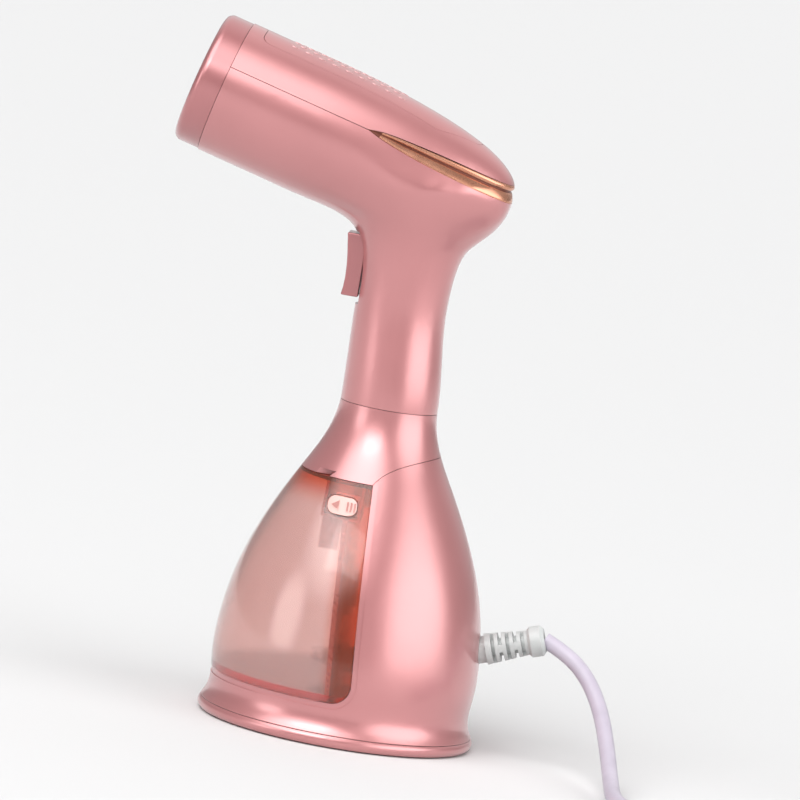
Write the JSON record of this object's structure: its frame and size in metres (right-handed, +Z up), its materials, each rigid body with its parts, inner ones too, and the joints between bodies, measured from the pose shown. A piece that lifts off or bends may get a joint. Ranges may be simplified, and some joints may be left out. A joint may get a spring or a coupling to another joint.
{
  "type": "handheld garment steamer",
  "caption": "Upright handheld garment steamer: tilted round steam head, trigger grip, lift-off clear water tank in a bell-shaped base, and a mains lead.",
  "frame": {"origin": "centre of the underside of the base, on the vertical axis of the bell-shaped lower body", "axes": "+Z up, -X towards the steam nozzle and the water tank, +X towards the mains lead, -Y the user's left"},
  "size_m": [0.4204, 0.1774, 0.3004],
  "materials": {
    "pearl_pink": "pearlescent rose pink gloss, moulded and lacquered",
    "pearl_pink_dark": "pearlescent rose pink gloss, tight radius mouldings",
    "rose_gold": "metallised rose gold trim",
    "tank_clear": "clear rose tinted polymer",
    "tank_inner": "rose tinted polymer, welded back wall",
    "button_pale": "pale pink gloss",
    "inner_plastic": "fine matt natural polymer",
    "black_plastic": "matt black polymer",
    "relief_white": "smooth off-white elastomer",
    "cord_lilac": "smooth lilac-white sheath",
    "silicone": "soft translucent silicone",
    "foot_rubber": "matt dark elastomer",
    "steel": "brushed stainless steel",
    "aluminium": "as cast aluminium",
    "nickel": "nickel plated",
    "brass": "brass",
    "board_green": "solder-masked laminate",
    "copper_coil": "taped copper winding"
  },
  "bodies": {
    "housing": {"base_plate": "inner_plastic", "base_ring": "pearl_pink", "base_screws": "steel", "board_components": "black_plastic", "bulkhead": "pearl_pink_dark", "chamber_cover": "aluminium", "circuit_board": "board_green", "clamp_screws": "steel", "cord_clamp": "inner_plastic", "cord_coil": "cord_lilac", "cord_tie": "black_plastic", "dock_nozzle": "inner_plastic", "dock_seal": "silicone", "foot_ring": "foot_rubber", "handle_screws": "steel", "handle_shell_left": "pearl_pink", "handle_shell_right": "pearl_pink", "head_top_cover": "pearl_pink", "heater_block": "aluminium", "heater_bracket": "black_plastic", "heater_element": "steel", "heater_gasket": "silicone", "heater_screws": "steel", "heater_terminals": "nickel", "inlet_hose": "silicone", "microswitch": "black_plastic", "neck_collar": "pearl_pink", "nozzle_ring": "pearl_pink_dark", "outlet_hose": "silicone", "plate_seal": "silicone", "plug_body": "cord_lilac", "plug_pins": "nickel", "power_cord": "cord_lilac", "pump_body": "inner_plastic", "pump_bracket": "steel", "pump_coil": "copper_coil", "pump_mounts": "foot_rubber", "rear_housing": "pearl_pink", "steam_plate": "steel", "strain_relief": "relief_white", "thermal_fuse": "brass", "thermostat": "nickel", "top_panel": "pearl_pink", "trigger_pin": "steel", "trigger_spring": "steel", "trim_band": "rose_gold", "wire_harness": "black_plastic"},
    "tank": {"tank_shell": "tank_clear", "tank_back": "tank_inner", "filler_cap": "silicone", "button_pockets": "tank_inner", "valve_body": "inner_plastic", "valve_poppet": "inner_plastic", "valve_spring": "steel"},
    "trigger": {"trigger": "pearl_pink_dark"},
    "switch_plunger": {"switch_plunger": "relief_white"},
    "release_left": {"release_button_left": "button_pale", "button_spring_left": "steel"},
    "release_right": {"release_button_right": "button_pale", "button_spring_right": "steel"}
  },
  "joints": [
    {"name": "trigger_pull", "type": "hinge", "parent": "housing", "child": "trigger", "pos_m": [-0.0175, 0, 0.2135], "axis": [0, -1, 0], "range_deg": [0, 7], "stiffness_Nm_per_rad": 1.2},
    {"name": "plunger_travel", "type": "slide", "parent": "housing", "child": "switch_plunger", "axis": [1, 0, 0], "range_m": [0, 0.00153]},
    {"name": "tank_removal", "type": "slide", "parent": "housing", "child": "tank", "axis": [-1, 0, 0], "range_m": [0, 0.09]},
    {"name": "release_left_press", "type": "slide", "parent": "tank", "child": "release_left", "axis": [0, 1, 0], "range_m": [0, 0.0025], "stiffness_N_per_m": 600},
    {"name": "release_right_press", "type": "slide", "parent": "tank", "child": "release_right", "axis": [0, -1, 0], "range_m": [0, 0.0025], "stiffness_N_per_m": 600}
  ],
  "couplings": [
    {"joint": "plunger_travel", "follows": "trigger_pull", "m_per_rad": 0.0125}
  ]
}
